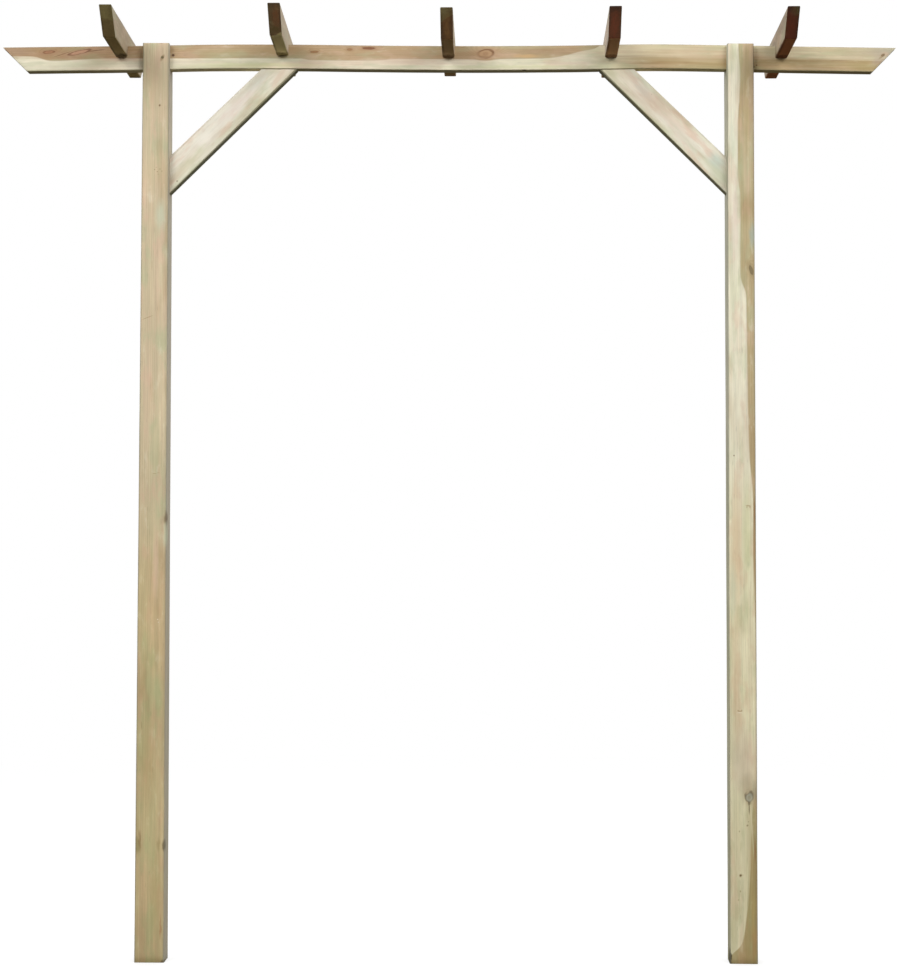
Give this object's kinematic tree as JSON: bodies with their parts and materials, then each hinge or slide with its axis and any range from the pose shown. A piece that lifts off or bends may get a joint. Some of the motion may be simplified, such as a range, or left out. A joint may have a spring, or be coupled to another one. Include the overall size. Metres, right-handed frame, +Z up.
{
  "type": "garden pergola arch",
  "caption": "Flat-topped timber pergola arch for a garden path: square posts carry a beam on edge in forked tops, with short rafters halved over it and diagonal corner braces.",
  "frame": {"origin": "middle of the left post's foot, in the plane of both feet", "axes": "+Z up along the posts, +X along the beam towards the right post, -Y is the front"},
  "size_m": [2.36, 0.555, 2.433],
  "materials": {
    "post_timber": "planed pressure-treated softwood, tan with a faint green tint",
    "beam_timber": "planed pressure-treated softwood, brown heartwood above and pale sapwood below",
    "rafter_timber": "planed pressure-treated softwood, darker brown with olive end grain",
    "brace_timber": "planed pressure-treated softwood, pale cream"
  },
  "bodies": {
    "root": {"post_left": "post_timber", "post_right": "post_timber", "beam": "beam_timber", "rafter_1": "rafter_timber", "rafter_2": "rafter_timber", "rafter_3": "rafter_timber", "rafter_4": "rafter_timber", "rafter_5": "rafter_timber", "brace_left": "brace_timber", "brace_right": "brace_timber"}
  },
  "joints": []
}
